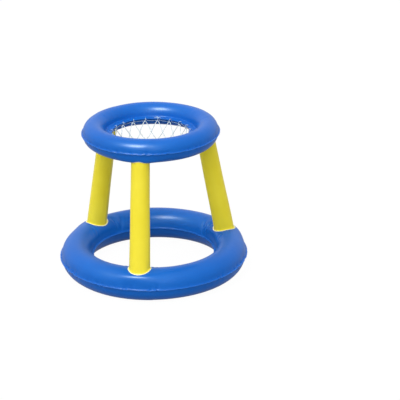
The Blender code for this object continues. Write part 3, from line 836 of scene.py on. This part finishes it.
def tied_knot(centre, diameter, cord):
    """A cord that passes round itself three times: the route of a small round knot."""
    centre = np.array(centre)
    out = np.array([centre[0], centre[1], 0.0]) / math.hypot(centre[0], centre[1])
    along = np.array([-out[1], out[0], 0.0])
    turns = np.linspace(0.0, math.tau, knot_points, endpoint=False)
    scale = (diameter - cord) / 2 / 3.0
    across = scale * (np.sin(turns) + 2 * np.sin(2 * turns))
    rise = scale * (np.cos(turns) - 2 * np.cos(2 * turns))
    depth = -scale * 1.5 * np.sin(3 * turns)
    return centre + across[:, None] * along + rise[:, None] * np.array([0, 0, 1.0]) + depth[:, None] * out


def cord_finish(name, colour, shade):
    """White plastic fibre: matt, with fine yarn grooves along the strands."""
    made, tree, shader = new_finish(name, colour, 0.62)
    yarn = texture(tree, "ShaderNodeTexWave", 900.0, coordinates="UV", bands="DIAGONAL", Distortion=1.2)
    drift = texture(tree, "ShaderNodeTexNoise", 60.0, Detail=2.0)
    tint(tree, shader, drift, shade, colour)
    relief(tree, shader, yarn, 0.00008)
    feed(shader, {"Sheen Weight": 0.15})
    return made


white_cord = cord_finish("white_net_cord", (0.80, 0.88, 0.90), (0.66, 0.78, 0.82))

apart = net_cord * knot_cord_share
upper_row = even_route(net_row(net_top, knot_height + apart), net_point_spacing)
lower_row = even_route(net_row(knot_height - net_second_row, knot_height - apart), net_point_spacing)
knot_routes = []
for loop in range(net_loops):
    centre = at_angle(loop_angle(loop + 0.5), net_radius(knot_height), knot_height)
    knot_routes.append((tied_knot(centre, net_knot, knot_cord), True))
net_routes = [(upper_row, True), (lower_row, True)]
net = twisted_cord("net_of_twisted_cord", net_routes, net_cord * net_fullness, white_cord)
knots = twisted_cord("net_knots_tied", knot_routes, knot_cord, white_cord, sides=8)
for piece in (net, knots):
    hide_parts("net")
    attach(piece, "float")

# Lacing: one unbroken cord. It comes up through each punched hole, turns over the flange's edge and
# under the net's loop, and runs on below the flange. Its two ends are tied over the back loop.

lace_wrap_points, lace_run_points = 40, 12
lace_point_spacing = 0.0008
lace_slimness = 0.75
tie_knot, tie_cord = 0.0066, 0.0020
tie_tail = 0.011
tie_point_spacing = 0.0007
tie_height = hoop["height"] + flange_face + seat_gap + tie_knot / 2


def lacing_route():
    points = []

    def corner(value):
        return math.copysign(abs(value) ** (2 / lace_squareness), value)

    def add_point(loop, along, turn, sag):
        radius = lace_reach + lace_half * corner(math.cos(turn))
        rise = (lace_high - lace_low) / 2 * corner(math.sin(turn)) - sag
        points.append(at_angle(loop_angle(loop + along), radius, (lace_high + lace_low) / 2 + rise))

    for loop in range(net_loops):
        for point in range(lace_wrap_points + 1):
            share = point / lace_wrap_points
            along = wrap_share * (share - lace_share(under_flange))
            add_point(loop, along, lace_start_turn + math.tau * share, 0.0)
        wrap_end = wrap_share * (1 - lace_share(under_flange))
        for share in np.linspace(0.0, 1.0, lace_run_points)[1:-1]:
            along = wrap_end + (1 - wrap_share) * share
            add_point(loop, along, lace_start_turn, lace_sag * math.sin(math.pi * share))
    return np.array(points)


routes = [(even_route(lacing_route(), lace_point_spacing, rounding=3), True)]
routes.append((tied_knot((0.0, lace_reach, tie_height), tie_knot, tie_cord), True))
for hand in (-1, 1):
    tail = [
        (hand * 0.0012, lace_reach, tie_height - 0.0006),
        (hand * 0.0045, lace_reach + 0.0008, tie_height + 0.0004),
        (hand * 0.0080, lace_reach + 0.0004, tie_height - 0.0012),
        (hand * tie_tail, lace_reach - 0.0002, hoop["height"] + flange_face + 0.0016),
    ]
    routes.append((even_route(np.array(tail), tie_point_spacing, closed=False, rounding=4), False))
# The lacing is the net's white cord, coloured a darker pale blue all along: painted shade, for the shade it
# lies in under the flange.
lace_finish_painted_shade = cord_finish("lace_cord_painted_shade", (0.50, 0.68, 0.86), (0.40, 0.58, 0.80))
lacing = twisted_cord("lacing_of_twisted_cord", routes, lace_cord * lace_slimness, lace_finish_painted_shade)
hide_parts("net_lacing_cord")
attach(lacing, "float")

# Air valves, one on each ring, moulded in soft bluish clear vinyl. A flange is welded on the ring, a
# stem with a rim and an inner skirt slides in it, a stopper on a strap plugs the stem, and a thin
# flap closes the stem's inner end.

flange_radius, flange_thickness, collar_wall, collar_height = 0.0074, 0.0010, 0.0011, 0.0013
stem_radius, stem_bore_radius, stem_travel = 0.0043, 0.0031, 0.0055
skirt_width, skirt_thickness, inner_length = 0.0013, 0.0008, 0.0030
rim_width, rim_thickness, ear_inset = 0.0008, 0.0010, 0.0001
slide_clearance = 0.0003
head_thickness, plug_length, plug_clearance, plug_taper = 0.0012, 0.0034, 0.0004, 0.0006
strap_width, strap_thickness, strap_inset = 0.0030, 0.0008, 0.0002
flap_thickness, flap_gap = 0.0005, 0.0003
turning_sides = 48
flange_rounding, stem_rounding, flap_rounding, bar_rounding = 0.0003, 0.00025, 0.0001, 0.0002
flange_slope, collar_foot, head_dome, plug_tip = 0.0004, 0.0003, 0.0002, 0.0004
ear_root, strap_root = 0.0003, 0.0009

flange_bore = stem_radius + slide_clearance
flange_top = seat_gap + flange_thickness
collar_top = flange_top + collar_height
rim_top = collar_top + slide_clearance + stem_travel + rim_thickness
fold_across = stem_radius + rim_width + strap_thickness + seat_gap + strap_thickness / 2
fold_up = rim_top - rim_thickness / 2
skirt_top = -vinyl_gauge - seat_gap
stem_end = skirt_top - inner_length

# Light goes in and comes out blurred. The skin is smooth, with faint flow marks.
clear_vinyl, tree, shader = new_finish("clear_moulded_vinyl", (0.40, 0.66, 0.82), 0.22)
feed(shader, {"Transmission Weight": 0.55, "IOR": 1.5})
flow = texture(tree, "ShaderNodeTexNoise", 300.0, Detail=2.0)
tint(tree, shader, flow, (0.34, 0.60, 0.78), (0.48, 0.72, 0.86))
relief(tree, shader, flow, 0.00006)


def rounded(outline, radius):
    """The outline with each corner replaced by two points and a middle one."""
    made = []
    count = len(outline)
    for i, point in enumerate(outline):
        here = np.array(point, float)
        back, on = np.array(outline[i - 1], float), np.array(outline[(i + 1) % count], float)
        if here[0] == 0.0:
            made.append(tuple(here))
            continue
        cut = min(radius, np.linalg.norm(back - here) * 0.45, np.linalg.norm(on - here) * 0.45)
        start = here + unit(back - here) * cut
        end = here + unit(on - here) * cut
        made += [tuple(start), tuple((start + end + 2 * here) / 4), tuple(end)]
    return made


def lathe(bm, outline):
    """Turns a closed outline of (radius, height) once round Z into the mesh."""
    loops = []
    for radius, height in outline:
        if radius == 0.0:
            loops.append([bm.verts.new((0.0, 0.0, height))] * turning_sides)
            continue
        turns = [math.tau * k / turning_sides for k in range(turning_sides)]
        loops.append([bm.verts.new(at_angle(turn, radius, height)) for turn in turns])
    for i in range(len(loops)):
        first, second = loops[i - 1], loops[i]
        for k in range(turning_sides):
            corners = list(dict.fromkeys((first[k - 1], first[k], second[k], second[k - 1])))
            if len(corners) > 2:
                bm.faces.new(corners)


def bar(bm, low, high):
    """A moulded bar with rounded edges between two corners."""
    middle = [(a + b) / 2 for a, b in zip(low, high)]
    size = [b - a for a, b in zip(low, high)]
    made = bmesh.ops.create_cube(bm, size=1.0, matrix=Matrix.LocRotScale(middle, None, size))
    edges = list({edge for vertex in made["verts"] for edge in vertex.link_edges})
    bmesh.ops.bevel(bm, geom=edges, offset=bar_rounding, segments=2, affect="EDGES")


def valve_piece(name, bm, seat, shift, node, body):
    bmesh.ops.recalc_face_normals(bm, faces=bm.faces)
    bmesh.ops.translate(bm, verts=bm.verts, vec=shift)
    mesh = into_mesh(name, bm)
    mesh.transform(seat)
    mesh.shade_smooth()
    mesh.set_sharp_from_angle(angle=math.radians(50))
    piece = link(name, mesh, (clear_vinyl,))
    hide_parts(node)
    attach(piece, body)


for prefix, seat in (("base_valve", base_seat), ("hoop_valve", hoop_seat)):
    bm = bmesh.new()
    lathe(bm, rounded([
        (flange_bore, weld_edge_lift),
        (flange_radius, weld_edge_lift),
        (flange_radius, flange_top - flange_slope),
        (flange_bore + collar_wall + flange_slope, flange_top),
        (flange_bore + collar_wall, flange_top + collar_foot),
        (flange_bore + collar_wall, collar_top),
        (flange_bore, collar_top),
    ], flange_rounding))
    valve_piece(prefix + "_welded_flange", bm, seat, (0, 0, 0), prefix + "_flange", "float")

    bm = bmesh.new()
    lathe(bm, rounded([
        (stem_bore_radius, stem_end),
        (stem_radius, stem_end),
        (stem_radius, skirt_top - skirt_thickness),
        (stem_radius + skirt_width, skirt_top - skirt_thickness),
        (stem_radius + skirt_width, skirt_top),
        (stem_radius, skirt_top),
        (stem_radius, rim_top - rim_thickness),
        (stem_radius + rim_width, rim_top - rim_thickness),
        (stem_radius + rim_width, rim_top),
        (stem_bore_radius, rim_top),
    ], stem_rounding))
    ear_low = (stem_radius + ear_root, -strap_width / 2, rim_top - rim_thickness + ear_inset)
    ear_high = (stem_radius + rim_width + strap_thickness, strap_width / 2, rim_top - ear_inset)
    bar(bm, ear_low, ear_high)
    valve_piece(prefix + "_sliding_stem", bm, seat, (0, 0, 0), prefix + "_stem", prefix + "_tube")

    head_low = rim_top + seat_gap - fold_up
    head_high = head_low + head_thickness
    head = stem_radius + rim_width
    plug = stem_bore_radius - plug_clearance
    bm = bmesh.new()
    lathe(bm, rounded([
        (0.0, head_low - plug_length + plug_tip),
        (plug - plug_taper - plug_tip, head_low - plug_length + plug_tip / 2),
        (plug - plug_taper, head_low - plug_length),
        (plug, head_low - plug_clearance),
        (plug, head_low),
        (head, head_low),
        (head, head_high - head_dome),
        (head * 0.6, head_high),
        (0.0, head_high - head_dome),
    ], stem_rounding))
    bmesh.ops.translate(bm, verts=bm.verts, vec=(-fold_across, 0, 0))
    strap_low = head_low + strap_inset
    strap_high = strap_low + strap_thickness
    half = strap_thickness / 2
    strap_start = head - strap_root - fold_across
    bar(bm, (strap_start, -strap_width / 2, strap_low), (half, strap_width / 2, strap_high))
    fold_half = strap_width / 2 - strap_inset
    bar(bm, (-half, -fold_half, -half), (half, fold_half, strap_high))
    at_fold = (fold_across, 0, fold_up)
    valve_piece(prefix + "_strapped_stopper", bm, seat, at_fold, prefix + "_stopper", prefix + "_plug")

    bm = bmesh.new()
    lathe(bm, rounded([
        (0.0, 0.0),
        (stem_radius, 0.0),
        (stem_radius, -flap_thickness),
        (0.0, -flap_thickness),
    ], flap_rounding))
    below_stem = (0, 0, stem_end - flap_gap)
    valve_piece(prefix + "_thin_flap", bm, seat, below_stem, prefix + "_check_flap", prefix + "_flap")

# Floor and light: a plain pale sheet in a white surround that is brightest overhead. A soft key lamp
# stands above the front left, with a second one on its line for highlights alone, and a broad lamp
# in front fills the shade.

floor_half = 30.0
floor_glow, floor_glow_share, floor_in_gloss = 1.08, 0.90, 0.45
sky_brightest = (-0.35, -0.05, 0.93)
sky_lowest, sky_low_strength, sky_high_strength = -0.4, 0.36, 1.42
lamp_distance = 3
white = (1.0, 1.0, 1.0, 1.0)

signs = ((-1, -1), (1, -1), (1, 1), (-1, 1))
floor_corners = [(floor_half * across, floor_half * along, 0) for across, along in signs]
floor_mesh = bpy.data.meshes.new("floor")
floor_mesh.from_pydata(floor_corners, [], [(0, 1, 2, 3)])


def seen_directly(tree, in_gloss):
    """1 for what the camera or clear vinyl shows, in_gloss in reflections and 0 for light on things."""
    paths = tree.nodes.new("ShaderNodeLightPath")
    seen = reckon(tree, "MULTIPLY", paths.outputs["Is Glossy Ray"], in_gloss)
    for ray in ("Is Camera Ray", "Is Transmission Ray"):
        seen = reckon(tree, "MAXIMUM", seen, paths.outputs[ray])
    return seen


floor_finish, floor_tree, floor_shader = new_finish("pale_floor", (0.26, 0.26, 0.26), 0.9)
grain = texture(floor_tree, "ShaderNodeTexNoise", 2.0, Detail=2.0)
tint(floor_tree, floor_shader, grain, (0.255, 0.255, 0.255), (0.265, 0.265, 0.265))
glow = floor_tree.nodes.new("ShaderNodeEmission")
feed(glow, {"Color": white, "Strength": floor_glow})
glow_share = reckon(floor_tree, "MULTIPLY", seen_directly(floor_tree, floor_in_gloss), floor_glow_share)
blend = floor_tree.nodes.new("ShaderNodeMixShader")
feed(blend, {"Fac": glow_share, 1: floor_shader.outputs["BSDF"], 2: glow.outputs["Emission"]})
feed(floor_tree.nodes["Material Output"], {"Surface": blend.outputs["Shader"]})
floor = link("floor", floor_mesh, (floor_finish,))

world = bpy.data.worlds.new("white_surround")
scene.world = world
world.use_nodes = True
sky_tree = world.node_tree
sky_place = sky_tree.nodes.new("ShaderNodeTexCoord")
sky_lean = sky_tree.nodes.new("ShaderNodeVectorMath")
sky_lean.operation = "DOT_PRODUCT"
feed(sky_lean, {0: sky_place.outputs["Generated"], 1: sky_brightest})
overhead = stretch(sky_tree, sky_lean.outputs["Value"], sky_low_strength, sky_high_strength, sky_lowest)
strength = stretch(sky_tree, seen_directly(sky_tree, 1.0), overhead, 1.0)
feed(sky_tree.nodes["Background"], {"Color": white, "Strength": strength})

key_place, fill_place = np.radians((-114, 55.6)), np.radians((-84, 33))
for name, (side, rise), energy, angle in (
    ("key", key_place, 0.45, 16),
    ("key_sparkle", key_place, 7.5, 22),
    ("fill", fill_place, 0.70, 40),
):
    towards_lamp = Vector(at_angle(side, math.cos(rise), math.sin(rise)))
    lamp_data = bpy.data.lights.new(name, "SUN")
    lamp_data.energy = energy
    lamp_data.angle = math.radians(angle)
    lamp = bpy.data.objects.new(name, lamp_data)
    lamp.rotation_euler = towards_lamp.to_track_quat("Z", "Y").to_euler()
    lamp.location = towards_lamp * lamp_distance
    lamp.visible_diffuse = name != "key_sparkle"
    scene.collection.objects.link(lamp)
